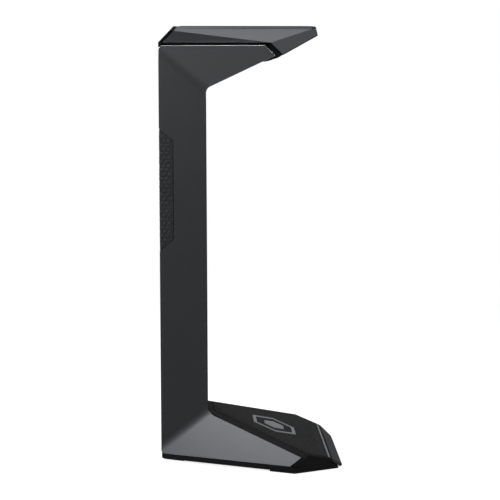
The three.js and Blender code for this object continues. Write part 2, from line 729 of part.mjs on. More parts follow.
function finish(color, roughness, metalness) {
  return new THREE.MeshStandardMaterial({ color, roughness, metalness });
}

const FINISHES = {
  panelPaint: () => finish(0x3c3d40, 0.42, 0.35),
  capPaint: () => finish(0x46474b, 0.40, 0.35),
  blackPlastic: () => finish(0x141416, 0.55, 0.0),
  rubber: () => finish(0x232426, 0.85, 0.0),
  footRubber: () => finish(0x101011, 0.9, 0.0),
  trimMetal: () => finish(0x9a9ca0, 0.3, 0.9),
  emblemInk: () => finish(0x77797d, 0.5, 0.2),
  steel: () => finish(0x8b8d90, 0.4, 1.0),
  bracketSteel: () => finish(0x6f7276, 0.45, 1.0),
};

// ---------------------------------------------------------------- assembly

const stand = new THREE.Group();

function place(name, body, material, parent = stand) {
  const geometry = body.isBufferGeometry ? body : toGeometry(body);
  const mesh = new THREE.Mesh(geometry, FINISHES[material]());
  mesh.name = name;
  parent.add(mesh);
  return mesh;
}

const panels = sidePanels();
place('side_panel_left', panels.left, 'panelPaint');
place('side_panel_right', panels.right, 'panelPaint');
place('front_liner', frontLiner(), 'blackPlastic');
place('rear_cover', rearCover(), 'blackPlastic');
place('grip_band', gripBand(), 'blackPlastic');
place('spine_bracket', spineBracket(), 'bracketSteel');
place('top_cap', topCap(), 'capPaint');
place('cap_rear_plate', capRearPlate(), 'blackPlastic');
place('headband_pad', headbandPad(), 'rubber');
place('tip_core', tipCore(), 'blackPlastic');

place('base_deck', baseDeck(), 'blackPlastic');
place('front_lip', frontLip(), 'panelPaint');
place('base_plate', basePlate(), 'blackPlastic');
place('ballast_plate', ballastPlate(), 'steel');
place('rear_foot', foot(REAR_FOOT), 'footRubber');
place('front_foot_left', foot(FRONT_FOOT.slice().reverse()), 'footRubber');
place('front_foot_right', foot(mirrorPlan(FRONT_FOOT)), 'footRubber');

// What lies on the sloping deck is built flat and tilted with it.
const deckPlane = new THREE.Group();
deckPlane.position.set(0, DECK.y, DECK.z);
deckPlane.rotation.x = DECK_TILT;
stand.add(deckPlane);

// A six-sided ring, a plain ornament without a meaning.
function hexagon(radius) {
  const centre = (EMBLEM.y - DECK.y) / Math.cos(DECK_TILT);
  const corners = [];
  for (let i = 0; i < 6; i += 1) {
    const angle = (Math.PI / 3) * i;
    corners.push([radius * Math.cos(angle), centre + radius * Math.sin(angle)]);
  }
  return corners;
}

function emblemPlate(radius, z0, z1) {
  const options = { depth: z1 - z0, bevelEnabled: false };
  const geometry = new THREE.ExtrudeGeometry(shapeOf(hexagon(radius)), options);
  geometry.translate(0, 0, z0);
  return solid(geometry);
}

function emblemRing(grow, z0, z1) {
  const hole = emblemPlate(EMBLEM.radius - EMBLEM.ring - grow, z0, z1);
  return emblemPlate(EMBLEM.radius + grow, z0, z1).subtract(hole);
}

const emblemTop = PAD_PROUD + EMBLEM.proud;
const emblemLow = emblemTop - EMBLEM.thickness;
const padBody = solid(deckSlab(padOutline(0), PAD_PROUD - PAD_THICKNESS, PAD_PROUD))
  .subtract(emblemRing(GAP, emblemLow - GAP, 5))
  .subtract(emblemPlate(EMBLEM.core + GAP, emblemLow - GAP, 5));
place('base_pad', padBody, 'rubber', deckPlane);
place('emblem_ring', emblemRing(0, emblemLow, emblemTop), 'emblemInk', deckPlane);
place('emblem_core', emblemPlate(EMBLEM.core, emblemLow, emblemTop), 'emblemInk', deckPlane);
const trimBody = deckSlab(trimOutline(0), TRIM.proud - TRIM.thickness, TRIM.proud);
place('trim_strip', trimBody, 'trimMetal', deckPlane);

BASE_SCREWS.forEach(([x, y], i) => {
  place(`base_screw_${i + 1}`, screw(SCREW_LENGTH.base), 'steel').position.set(x, y, PLATE.low + 0.2);
});
COLUMN_SCREWS.forEach((y, i) => {
  place(`column_screw_${i + 1}`, screw(SCREW_LENGTH.column), 'steel').position.set(0, y, PLATE.low + 0.2);
});
const capScrewZ = SPINE.top - SPINE.wall - SCREW.headHeight - 0.1;
CAP_SCREWS.forEach((y, i) => {
  place(`cap_screw_${i + 1}`, screw(SCREW_LENGTH.cap), 'steel').position.set(0, y, capScrewZ);
});

export default stand;
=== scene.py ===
"""Looks for a desktop headphone stand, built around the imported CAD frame.

Everything is in metres in the row frame: +Z up, -Y the front, X across.
"""

import math
import random

import bmesh
import bpy
from mathutils import Matrix, Vector


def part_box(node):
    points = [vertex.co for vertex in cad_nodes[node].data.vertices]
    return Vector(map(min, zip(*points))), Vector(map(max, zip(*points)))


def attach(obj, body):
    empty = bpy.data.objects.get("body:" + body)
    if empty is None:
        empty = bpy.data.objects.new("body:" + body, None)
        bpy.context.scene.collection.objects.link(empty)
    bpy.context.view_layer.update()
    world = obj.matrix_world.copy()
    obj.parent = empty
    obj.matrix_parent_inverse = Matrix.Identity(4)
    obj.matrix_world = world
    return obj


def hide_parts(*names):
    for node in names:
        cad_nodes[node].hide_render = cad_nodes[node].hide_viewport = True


MM = 0.001

# ------------------------------------------------------------------ camera and studio

CAMERA = {
    "azimuth": -93.023,
    "elevation": 8.588,
    "roll": 0.0588,
    "distance": 0.9632,
    "target": (0.0, -0.0003, 0.1337),
    "lens": 108.72,
    "sensor": 36.0,
}
FLOOR = {"radius": 40.0, "shadow_from": 0.15, "shadow_to": 0.6, "glow": 0.8, "albedo": 0.5}
WHITE = (1.0, 1.0, 1.0)

# name, position, target, size, power in watts
SOFTBOXES = [
    ("front", (-0.3, -1.6, 0.7), (0.0, 0.0, 0.15), (0.8, 0.8), 11.0),
    ("edge", (-0.9, 0.0, 1.15), (0.0, 0.0, 0.25), (0.3, 0.3), 1.1),
    ("far_rear", (1.0, 1.3, 0.8), (0.0, 0.0, 0.14), (0.9, 0.7), 8.0),
    ("near_top", (-0.32, 0.30, 0.45), (0.0, 0.03, 0.24), (0.25, 0.25), 0.95),
    ("crown", (-0.16, 0.10, 0.33), (0.0, 0.03, 0.22), (0.12, 0.12), 0.05),
    ("far_top", (0.32, 0.30, 0.45), (0.0, 0.03, 0.24), (0.25, 0.25), 0.8),
]

# Soft light from all round: an even part, and lobes, each with its direction, the cosine at which it
# starts, and its strength.
WORLD_EVEN = 0.01
WORLD_LOBES = [
    ((-0.2, 0.0, 0.98), 0.6, 0.90),
    ((-0.15, 0.95, -0.25), 0.6, 1.25),
    ((-0.4, -0.6, -0.7), 0.5, 0.34),
    ((0.0, 0.0, -1.0), 0.0, 0.05),
    ((1.0, 0.0, 0.2), 0.0, 0.22),
]

# ------------------------------------------------------------------ shape details

MERGE = 0.001 * MM
TOLERANCE = 0.05 * MM
FLAT_ANGLE = math.radians(0.6)          # faces that meet at less than this are one flat face

# Side panels: the rim's rounding, the polished cut edge of the arm, coloured near-white as a painted
# highlight, and the eased folds
RIM_BEVEL = 0.55 * MM
CHAMFER_ANGLE = math.radians(50)
PANEL_CHAMFER = 0.75 * MM
POLISHED_HIGHLIGHT_ABOVE = 215 * MM
FOLD_RANGE = (math.radians(22), math.radians(40))
FOLD_LENGTH = 20 * MM
FOLD_EASE = 3.6 * MM
FOLD_CUTS = 4                           # strips to either side of a fold

# Pieces whose rims are rounded: node, material, slot, rounding, segments, angle that makes an edge a rim
RIM_ANGLE = math.radians(42)
LOW_RIM = math.radians(20)
ROUNDED = [
    ("cap_rear_plate", "black_plastic", "black_plastic", 0.30 * MM, 2, RIM_ANGLE),
    ("front_liner", "black_plastic", "black_plastic", 0.30 * MM, 2, RIM_ANGLE),
    ("rear_cover", "black_plastic", "black_plastic", 0.30 * MM, 2, RIM_ANGLE),
    ("tip_core", "black_plastic", "black_plastic", 0.35 * MM, 2, math.radians(25)),
    ("base_deck", "black_plastic", "black_plastic", 0.45 * MM, 3, LOW_RIM),
    ("front_lip", "lip_paint", "panel_paint", 0.40 * MM, 2, math.radians(30)),
    ("base_plate", "black_plastic", "black_plastic", 0.30 * MM, 2, math.radians(30)),
    ("trim_strip", "trim_metal", "trim_metal", 0.15 * MM, 2, RIM_ANGLE),
    ("emblem_ring", "emblem_ink", "emblem_ink", 0.12 * MM, 2, RIM_ANGLE),
    ("emblem_core", "emblem_ink", "emblem_ink", 0.12 * MM, 2, RIM_ANGLE),
    ("rear_foot", "foot_rubber", "foot_rubber", 0.30 * MM, 2, RIM_ANGLE),
    ("front_foot_left", "foot_rubber", "foot_rubber", 0.30 * MM, 2, RIM_ANGLE),
    ("front_foot_right", "foot_rubber", "foot_rubber", 0.30 * MM, 2, RIM_ANGLE),
]
# Lighter materials for the rounded rims of some finishes: edge wear, and a painted highlight along each rim
RIM_WEAR_AND_HIGHLIGHTS = {
    "panel_paint": "paint_rim_wear_and_highlight",
    "cap_paint": "paint_rim_wear_and_highlight",
    "black_plastic": "plastic_rim_wear_and_highlight",
}

# Hood: the skirt behind its shadow gap and the front end of its rim are coloured black, as painted shade
CAP_ROUNDING = 0.25 * MM
SKIRT = {"top": 265.18 * MM, "front": -6.0 * MM}
RIM_LOW = 273.2 * MM
FACING_FRONT = -0.5

# Grip band: the tongue ahead of its visible part, the rise of its slanted ends, and the plates on it
BAND_ROUNDING = 0.35 * MM
BAND_TONGUE = 2.3 * MM
BAND_SLANT = 7.2 * MM
GRIP_TILE = {
    "pitch": 3.0 * MM,
    "gap": 0.7 * MM,
    "height": 0.32 * MM,
    "lowest": 0.55,
    "shoulder": 0.45,
    "top": 0.72,
    "sink": 0.15 * MM,
    "margin": 1.3 * MM,
}

# Rubber pads: the grooves in their tops, the deck's slope, and the heading of each pad's grooves
PAD_RIBS = {"pitch": 1.9 * MM, "groove": 0.75 * MM, "depth": 0.24 * MM, "border": 3.6 * MM}
PAD_CUT = 0.0001 * MM
PAD_TOP = 0.01 * MM
FACING_UP = 0.999
SHORT_SIDE = 1.0 * MM
DECK_SLOPE = 0.331
HEADBAND_HEADING = math.radians(20)
DECK_HEADING = math.radians(-20)


# ------------------------------------------------------------------ material helpers


class Graph:
    """A node material with one Principled shader, and short ways to add nodes to it."""

    def __init__(self, name):
        self.material = bpy.data.materials.new(name)
        self.material.use_nodes = True
        self.tree = self.material.node_tree
        self.tree.nodes.clear()
        self.shader = self.add("ShaderNodeBsdfPrincipled")
        output = self.add("ShaderNodeOutputMaterial")
        self.link(self.shader.outputs["BSDF"], output.inputs["Surface"])
        self.place = self.add("ShaderNodeTexCoord").outputs["Object"]

    def add(self, kind, **settings):
        node = self.tree.nodes.new(kind)
        for key, value in settings.items():
            setattr(node, key, value)
        return node

    def link(self, start, end):
        self.tree.links.new(start, end)

    def set(self, **values):
        for key, value in values.items():
            self.shader.inputs[key.replace("_", " ")].default_value = value

    def noise(self, scale, detail=2.0, stretch=None):
        """Noise in metres: scale is the number of features to a metre."""
        node = self.add("ShaderNodeTexNoise")
        node.inputs["Scale"].default_value = scale
        node.inputs["Detail"].default_value = detail
        self.link(self.stretched(stretch), node.inputs["Vector"])
        return node.outputs["Fac"]

    def cells(self, scale, output="Distance"):
        """Voronoi cells: scale is the number of cells to a metre."""
        node = self.add("ShaderNodeTexVoronoi")
        node.inputs["Scale"].default_value = scale
        self.link(self.place, node.inputs["Vector"])
        return node.outputs[output]

    def stretched(self, stretch):
        if stretch is None:
            return self.place
        node = self.add("ShaderNodeMapping")
        node.inputs["Scale"].default_value = stretch
        self.link(self.place, node.inputs["Vector"])
        return node.outputs["Vector"]

    def span(self, value, from_low, from_high, to_low, to_high):
        """Moves a value from one range to another and holds it there."""
        node = self.add("ShaderNodeMapRange")
        node.inputs["From Min"].default_value = from_low
        node.inputs["From Max"].default_value = from_high
        node.inputs["To Min"].default_value = to_low
        node.inputs["To Max"].default_value = to_high
        self.link(value, node.inputs["Value"])
        return node.outputs["Result"]

    def sum(self, first, second, operation="ADD"):
        """Two numbers or sockets added, or joined by another operation."""
        node = self.add("ShaderNodeMath", operation=operation)
        for i, value in enumerate((first, second)):
            if isinstance(value, float):
                node.inputs[i].default_value = value
            else:
                self.link(value, node.inputs[i])
        return node.outputs["Value"]

    def blend(self, amount, low, high):
        """A colour between low and high, which are colours or sockets."""
        node = self.add("ShaderNodeMix", data_type="RGBA")
        self.link(amount, node.inputs["Factor"])
        for key, value in (("A", low), ("B", high)):
            socket = [s for s in node.inputs if s.name == key and s.type == "RGBA"][0]
            if isinstance(value, tuple):
                socket.default_value = (*value, 1.0)
            else:
                self.link(value, socket)
        return [s for s in node.outputs if s.type == "RGBA"][0]

    def length(self):
        """Distance from the object's origin."""
        node = self.add("ShaderNodeVectorMath", operation="LENGTH")
        self.link(self.place, node.inputs[0])
        return node.outputs["Value"]

    def bump(self, height, distance, strength=1.0):
        node = self.add("ShaderNodeBump")
        node.inputs["Distance"].default_value = distance
        node.inputs["Strength"].default_value = strength
        self.link(height, node.inputs["Height"])
        self.link(node.outputs["Normal"], self.shader.inputs["Normal"])

    def feed(self, **sockets):
        for key, socket in sockets.items():
            self.link(socket, self.shader.inputs[key.replace("_", " ")])


# ------------------------------------------------------------------ materials


def painted(name, low, high, flake_colour, roughness):
    """Satin metallic paint: fine flake, a trace of drift in the tone and a faint orange peel."""
    g = Graph(name)
    sparkle = g.span(g.cells(3200.0, "Color"), 0.72, 1.0, 0.0, 1.0)
    drift = g.span(g.noise(9.0, 2.0), 0.3, 0.7, 0.0, 1.0)
    g.feed(Base_Color=g.blend(g.sum(sparkle, 0.16, "MULTIPLY"), g.blend(drift, low, high), flake_colour))
    haze = g.span(g.noise(60.0, 2.0), 0.3, 0.7, roughness - 0.008, roughness + 0.008)
    g.feed(Roughness=g.sum(haze, g.sum(sparkle, 0.05, "MULTIPLY"), "SUBTRACT"))
    g.set(Metallic=0.7, Specular_IOR_Level=0.5)
    g.bump(g.sum(g.noise(900.0, 2.0), g.sum(sparkle, 0.3, "MULTIPLY")), 0.00002, 0.4)
    return g.material


def moulded(name, low, high, scuff, roughness, grain=900.0, depth=0.00006):
    """Moulded plastic with an etched grain and a few faint scuffs."""
    g = Graph(name)
    body = g.blend(g.noise(22.0, 2.0), low, high)
    scuffs = g.span(g.noise(260.0, 3.0, (1.0, 0.2, 1.0)), 0.66, 0.80, 0.0, 0.35)
    g.feed(Base_Color=g.blend(scuffs, body, scuff))
    g.feed(Roughness=g.span(g.noise(90.0, 3.0), 0.3, 0.7, roughness - 0.03, roughness + 0.03))
    g.set(Specular_IOR_Level=0.25)
    g.bump(g.sum(g.cells(grain), g.noise(grain * 0.6, 3.0)), depth, 0.7)
    return g.material


def rubbery(name, low, high, dust, roughness):
    """Matt rubber with a pebbled skin and a trace of dust."""
    g = Graph(name)
    body = g.blend(g.noise(30.0, 4.0), low, high)
    specks = g.span(g.noise(1500.0, 2.0), 0.66, 0.78, 0.0, 0.4)
    g.feed(Base_Color=g.blend(specks, body, dust))
    g.feed(Roughness=g.span(g.noise(240.0, 4.0), 0.3, 0.7, roughness - 0.08, roughness + 0.05))
    g.set(Specular_IOR_Level=0.3)
    g.bump(g.sum(g.cells(1300.0), g.noise(700.0, 3.0)), 0.00005, 0.6)
    return g.material


def metal(name, low, high, roughness, stretch, scale=300.0):
    """Bare or plated metal with fine lines along one direction."""
    g = Graph(name)
    lines = g.noise(scale, 3.0, stretch)
    clouds = g.noise(35.0, 5.0)
    g.feed(Base_Color=g.blend(g.sum(lines, g.sum(clouds, 0.5, "MULTIPLY"), "MULTIPLY"), low, high))
    g.feed(Roughness=g.span(lines, 0.3, 0.7, roughness - 0.06, roughness + 0.08))
    g.set(Metallic=1.0)
    g.bump(lines, 0.00002, 0.5)
    return g.material


def floor_material():
    """White paper that glows evenly, and takes a faint shadow only close to the stand."""
    g = Graph("floor_paper")
    fade = g.span(g.length(), FLOOR["shadow_from"], FLOOR["shadow_to"], 0.0, 1.0)
    albedo = (FLOOR["albedo"],) * 3
    g.feed(Base_Color=g.blend(fade, albedo, (0.0, 0.0, 0.0)))
    g.set(Roughness=1.0, Specular_IOR_Level=0.0, Emission_Color=(*WHITE, 1.0))
    g.feed(Emission_Strength=g.span(fade, 0.0, 1.0, FLOOR["glow"], 1.0))
    return g.material


def grey(level, blue=1.10):
    """A neutral colour with a trace of blue."""
    return (level, level * (1.0 + (blue - 1.0) / 4), level * blue)


def make_materials():
    """Every finish on the stand, by name."""
    def plain(kind, name, low, high, edge, *rest):
        return kind(name, grey(low), grey(high), grey(edge), *rest)

    return {
        "panel_paint": plain(painted, "panel_paint", 0.126, 0.130, 0.24, 0.36),
        "cap_paint": plain(painted, "cap_paint", 0.242, 0.250, 0.36, 0.36),
        # near-white cut edge: a polished edge, with a painted highlight in its colour
        "polished_edge_painted_highlight": plain(painted, "polished_edge_painted_highlight", 0.78, 0.86, 0.95, 0.26),
        "paint_rim_wear_and_highlight": plain(painted, "paint_rim_wear_and_highlight", 0.17, 0.20, 0.36, 0.30),
        "plastic_rim_wear_and_highlight": plain(moulded, "plastic_rim_wear_and_highlight", 0.005, 0.008, 0.020, 0.44),
        "black_plastic": plain(moulded, "black_plastic", 0.0016, 0.0026, 0.010, 0.54),
        "grip_plastic": plain(moulded, "grip_plastic", 0.034, 0.044, 0.090, 0.46),
        "pad_rubber": plain(rubbery, "pad_rubber", 0.010, 0.014, 0.045, 0.76),
        "foot_rubber": plain(rubbery, "foot_rubber", 0.008, 0.012, 0.04, 0.85),
        "trim_metal": plain(moulded, "trim_metal", 0.22, 0.26, 0.46, 0.30, 1600.0, 0.00001),
        "lip_paint": plain(moulded, "lip_paint", 0.029, 0.034, 0.075, 0.42, 1100.0, 0.00005),
        "emblem_ink": plain(moulded, "emblem_ink", 0.20, 0.25, 0.40, 0.42, 1400.0, 0.00003),
        "bracket_steel": metal("bracket_steel", grey(0.36), grey(0.52), 0.38, (10.0, 1.0, 1.0)),
        "ballast_steel": metal("ballast_steel", grey(0.24, 1.03), grey(0.40, 1.03), 0.52, (1.0, 10.0, 1.0)),
        "screw_steel": metal("screw_steel", grey(0.42), grey(0.62), 0.3, (1.0, 1.0, 8.0), 500.0),
    }


# ------------------------------------------------------------------ mesh helpers


def clean_copy(node):
    """A CAD node's mesh with its flat faces whole again, as a bmesh."""
    mesh = bmesh.new()
    mesh.from_mesh(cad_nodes[node].data)
    bmesh.ops.remove_doubles(mesh, verts=mesh.verts, dist=MERGE)
    bmesh.ops.dissolve_limit(mesh, angle_limit=FLAT_ANGLE, verts=mesh.verts, edges=mesh.edges)
    mesh.normal_update()
    return mesh


def piece(name, mesh, material, replaced=()):
    """Turns a bmesh into a shown object that rides on the stand's one body."""
    data = bpy.data.meshes.new(name)
    mesh.to_mesh(data)
    mesh.free()
    data.polygons.foreach_set("use_smooth", [True] * len(data.polygons))
    data.materials.append(materials[material])
    obj = bpy.data.objects.new(name, data)
    bpy.context.scene.collection.objects.link(obj)
    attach(obj, "root")
    if replaced:
        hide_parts(*replaced)
    return obj


def soften(obj, width, segments, angle):
    """Rounds every sharp edge of a piece, gives the rims of some finishes a lighter colour for edge wear
    and a painted highlight, and keeps its flats looking flat.
    """
    bevel = obj.modifiers.new("rims", "BEVEL")
    bevel.width = width
    bevel.segments = segments
    bevel.limit_method = "ANGLE"
    bevel.angle_limit = angle
    bevel.use_clamp_overlap = True
    bevel.miter_outer = "MITER_ARC"
    # The rounded rims take the lighter material: edge wear and a painted highlight.
    edge = RIM_WEAR_AND_HIGHLIGHTS.get(obj.data.materials[0].name)
    if edge:
        obj.data.materials.append(materials[edge])
        bevel.material = len(obj.data.materials) - 1
    normals = obj.modifiers.new("flat_shading", "WEIGHTED_NORMAL")
    normals.keep_sharp = False
    normals.weight = 100
    return obj


def refined(node, material, slot_name, width, segments, angle=RIM_ANGLE):
    """A CAD node's shape again, with its rims rounded."""
    obj = piece(f"{node}_skin", clean_copy(node), material, [node])
    return soften(obj, width, segments, angle)


def outer_folds(mesh):
    """The long folds in a side panel's outer face: a point, the way to its flared side, and the slope."""
    folds = [
        e for e in mesh.edges
        if FOLD_RANGE[0] < e.calc_face_angle(0.0) < FOLD_RANGE[1] and e.calc_length() > FOLD_LENGTH
    ]
    half = max(abs(e.verts[0].co.x) for e in folds)
    found = []
    for fold in folds:
        start, end = (v.co.copy() for v in fold.verts)
        if abs(start.x) > half - TOLERANCE:
            flare = min(fold.link_faces, key=lambda face: abs(face.normal.x))
            across = Vector((0, end.z - start.z, start.y - end.y)).normalized()
            if across.dot(flare.calc_center_median() - start) < 0:
                across.negate()
            found.append((start, across, flare.normal.yz.length / abs(flare.normal.x)))
    return found


def ease_folds(mesh):
    """Fills the valley of each long fold with a curve that runs FOLD_EASE to either side of it."""
    for start, across, slope in outer_folds(mesh):
        for step in range(-FOLD_CUTS, FOLD_CUTS + 1):
            everything = [*mesh.verts, *mesh.edges, *mesh.faces]
            place = start + across * (FOLD_EASE * step / FOLD_CUTS)
            bmesh.ops.bisect_plane(mesh, geom=everything, plane_co=place, plane_no=across)
        bmesh.ops.remove_doubles(mesh, verts=mesh.verts, dist=TOLERANCE)
        for v in mesh.verts:
            away = across.dot(v.co - start)
            folded = slope * max(0.0, away)
            if abs(away) < FOLD_EASE and abs(abs(v.co.x) - abs(start.x) - folded) < TOLERANCE:
                eased = slope * (away + FOLD_EASE) ** 2 / (4 * FOLD_EASE)
                v.co.x += math.copysign(eased - folded, v.co.x)


def folded_panel(node):
    """A side panel: its long folds are eased, and the arm's cut edge has a polished chamfer, coloured
    near-white as a painted highlight.
    """
    mesh = clean_copy(node)
    ease_folds(mesh)
    mesh.normal_update()
    # Cut edges high on the arm take the near-white material: a polished edge with a painted highlight
    cut = [
        e for e in mesh.edges
        if e.calc_face_angle(0.0) > CHAMFER_ANGLE and min(v.co.z for v in e.verts) > POLISHED_HIGHLIGHT_ABOVE
    ]
    bmesh.ops.bevel(
        mesh, geom=cut, offset=PANEL_CHAMFER, segments=2, profile=0.5, affect="EDGES",
        clamp_overlap=True, material=1,
    )
    obj = piece(f"{node}_skin", mesh, "panel_paint", [node])
    obj.data.materials.append(materials["polished_edge_painted_highlight"])
    return soften(obj, RIM_BEVEL, 3, CHAMFER_ANGLE)


def paint_shade_black(obj, wanted):
    """Gives the faces of a piece that `wanted` picks the black of the pieces beside them, as painted shade.
    """
    obj.data.materials.append(materials["black_plastic"])
    black = len(obj.data.materials) - 1
    for face in obj.data.polygons:
        if wanted(face):
            face.material_index = black


def cap_skin():
    """The hood: its skirt behind the shadow gap and the front end of its rim are coloured black as painted
    shade.
    """
    cap = refined("top_cap", "cap_paint", "cap_paint", CAP_ROUNDING, 2, LOW_RIM)
    # The skirt in the shadow gap is coloured black: painted shade.
    paint_shade_black(cap, lambda face: face.center.z < SKIRT["top"] and face.center.y > SKIRT["front"])
    # The rim's front end is coloured black: painted shade in place of the light its front face would catch.
    paint_shade_black(cap, lambda face: face.normal.y < FACING_FRONT and face.center.z > RIM_LOW)


# ------------------------------------------------------------------ ribbed rubber pads


def convex_outline(points):
    """The plan outline of a pad, turning left, from its vertices' x and y."""
    points = sorted(set((round(x, 6), round(y, 6)) for x, y in points))

    def chain(ordered):
        line = []
        for p in ordered:
            while len(line) > 1 and cross(line[-2], line[-1], p) <= 1e-9:
                line.pop()
            line.append(p)
        return line[:-1]

    def cross(o, a, b):
        return (a[0] - o[0]) * (b[1] - o[1]) - (a[1] - o[1]) * (b[0] - o[0])

    return chain(points) + chain(reversed(points))


def pad_sides(outline):
    """Each long side of a pad's outline: a point on it, and the way inward."""
    sides = []
    for (x0, y0), (x1, y1) in zip(outline, outline[1:] + outline[:1]):
        if math.hypot(x1 - x0, y1 - y0) > SHORT_SIDE:
            sides.append((Vector((x0, y0, 0)), Vector((y0 - y1, x1 - x0, 0)).normalized()))
    return sides


def groove_cuts(outline, sides, across):
    """The cuts that shape the grooves in a pad's top, each as a point on it and its normal."""
    border, pitch, half = PAD_RIBS["border"], PAD_RIBS["pitch"], PAD_RIBS["groove"] / 2
    for start, inward in sides:
        for inset in (border - half, border, border + half):
            yield start + inward * inset, inward
    reach = [across.dot(Vector((x, y, 0))) for x, y in outline]
    for i in range(math.ceil(min(reach) / pitch), math.floor(max(reach) / pitch) + 1):
        for offset in (-half, 0.0, half):
            yield across * (i * pitch + offset), across


def groove_depth(flat, sides, across):
    """How far a pad's top is sunk at a place in its plan."""
    border, pitch, half = PAD_RIBS["border"], PAD_RIBS["pitch"], PAD_RIBS["groove"] / 2
    inset = min((flat - start).dot(inward) for start, inward in sides)
    away = inset - border
    if away > half:
        phase = across.dot(flat) / pitch
        away = (phase - round(phase)) * pitch
    return PAD_RIBS["depth"] * max(0.0, 1.0 - abs(away) / half)


def ribbed_pad(node, up, heading):
    """A rubber pad whose top has a border groove and, inside it, fine slanted grooves."""
    mesh = bmesh.new()
    mesh.from_mesh(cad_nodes[node].data)
    bmesh.ops.remove_doubles(mesh, verts=mesh.verts, dist=MERGE)
    mesh.normal_update()
    level = max(v.co.dot(up) for v in mesh.verts)

    def on_top(place):
        return level - place.dot(up) < PAD_TOP

    outline = convex_outline([(v.co.x, v.co.y) for v in mesh.verts if on_top(v.co)])
    sides = pad_sides(outline)
    across = Vector((-math.sin(heading), math.cos(heading), 0))
    for point, normal in groove_cuts(outline, sides, across):
        top = [f for f in mesh.faces if f.normal.dot(up) > FACING_UP and on_top(f.calc_center_median())]
        geometry = top + list({e for f in top for e in f.edges}) + list({v for f in top for v in f.verts})
        bmesh.ops.bisect_plane(mesh, geom=geometry, dist=PAD_CUT, plane_co=point, plane_no=normal)
    for v in mesh.verts:
        if on_top(v.co):
            v.co -= up * groove_depth(Vector((v.co.x, v.co.y, 0)), sides, across)
    bmesh.ops.dissolve_degenerate(mesh, dist=PAD_CUT, edges=mesh.edges)
    mesh.normal_update()
    obj = piece(f"{node}_ribbed", mesh, "pad_rubber", [node])
    obj.data.polygons.foreach_set("use_smooth", [False] * len(obj.data.polygons))


# ------------------------------------------------------------------ grip band


def inside(outline, u, v, margin):
    """Whether a point lies inside a convex outline that turns left, by a margin."""
    for (u0, v0), (u1, v1) in zip(outline, outline[1:] + outline[:1]):
        length = math.hypot(u1 - u0, v1 - v0)
        if ((u1 - u0) * (v - v0) - (v1 - v0) * (u - u0)) / length < margin:
            return False
    return True


def tile(mesh, centre, right, up, out, radius, rise):
    """A raised six-sided plate with slanted sides."""
    rings = [
        (radius, -GRIP_TILE["sink"]),
        (radius, rise * GRIP_TILE["shoulder"]),
        (radius * GRIP_TILE["top"], rise),
    ]
    loops = []
    for size, height in rings:
        ring = []
        for i in range(6):
            angle = math.radians(60 * i + 30)
            ring.append(mesh.verts.new(
                centre + right * size * math.cos(angle) + up * size * math.sin(angle) + out * height
            ))
        loops.append(ring)
    for low, high in zip(loops, loops[1:]):
        for i in range(6):
            mesh.faces.new((low[i], low[(i + 1) % 6], high[(i + 1) % 6], high[i]))
    mesh.faces.new(loops[-1])
    mesh.faces.new(list(reversed(loops[0])))


def grip_tiles(name, origin, right, up, outline, seed):
    """Rows of plates over one face of the grip band. The outline is in the face's own plane."""
    chance = random.Random(seed)
    mesh = bmesh.new()
    out = right.cross(up)
    pitch = GRIP_TILE["pitch"]
    radius = (pitch - GRIP_TILE["gap"]) / math.sqrt(3)
    us, vs = [u for u, _ in outline], [v for _, v in outline]
    row_height = pitch * math.sqrt(3) / 2
    rows = int((max(vs) - min(vs)) / row_height)
    columns = int((max(us) - min(us)) / pitch) + 2
    for j in range(rows + 1):
        for i in range(-1, columns):
            u = min(us) + (i + 0.5 * (j % 2)) * pitch
            v = min(vs) + (j + 0.5) * row_height
            if inside(outline, u, v, GRIP_TILE["margin"]):
                rise = GRIP_TILE["height"] * chance.uniform(GRIP_TILE["lowest"], 1.0)
                tile(mesh, origin + right * u + up * v, right, up, out, radius, rise)
    bmesh.ops.recalc_face_normals(mesh, faces=mesh.faces)
    obj = piece(name, mesh, "grip_plastic")
    obj.data.polygons.foreach_set("use_smooth", [False] * len(obj.data.polygons))


def grip_band():
    """The band in the column's notch, with plates on its two sides and its back."""
    refined("grip_band", "grip_plastic", "black_plastic", BAND_ROUNDING, 3)
    low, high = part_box("grip_band")
    front = low.y + BAND_TONGUE
    side = [
        (front, low.z + BAND_SLANT),
        (high.y, low.z),
        (high.y, high.z),
        (front, high.z - BAND_SLANT),
    ]
    up = Vector((0, 0, 1))
    grip_tiles("grip_tiles_left", Vector((high.x, 0, 0)), Vector((0, 1, 0)), up, side, 3)
    mirrored = [(-u, v) for u, v in reversed(side)]
    grip_tiles("grip_tiles_right", Vector((low.x, 0, 0)), Vector((0, -1, 0)), up, mirrored, 5)
    rear = [(low.x, low.z), (high.x, low.z), (high.x, high.z), (low.x, high.z)]
    turned = [(-u, v) for u, v in reversed(rear)]
    grip_tiles("grip_tiles_rear", Vector((0, high.y, 0)), Vector((-1, 0, 0)), up, turned, 7)


# ------------------------------------------------------------------ the stand


def build_stand():
    """Every piece that shows, each in place of its CAD node."""
    for side in ("left", "right"):
        folded_panel(f"side_panel_{side}")
    cap_skin()
    for details in ROUNDED:
        refined(*details)
    grip_band()
    ribbed_pad("headband_pad", Vector((0, 0, 1)), HEADBAND_HEADING)
    tilt = math.atan(DECK_SLOPE)
    ribbed_pad("base_pad", Vector((0, -math.sin(tilt), math.cos(tilt))), DECK_HEADING)


def finish_hidden_nodes():
    """The pieces inside the stand, and its screws, keep their CAD shape."""
    finishes = {"spine_bracket": "bracket_steel", "ballast_plate": "ballast_steel"}
    for node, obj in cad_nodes.items():
        material = finishes.get(node, "screw_steel" if "screw" in node else None)
        if material:
            obj.data.materials.clear()
            obj.data.materials.append(materials[material])


# ------------------------------------------------------------------ studio


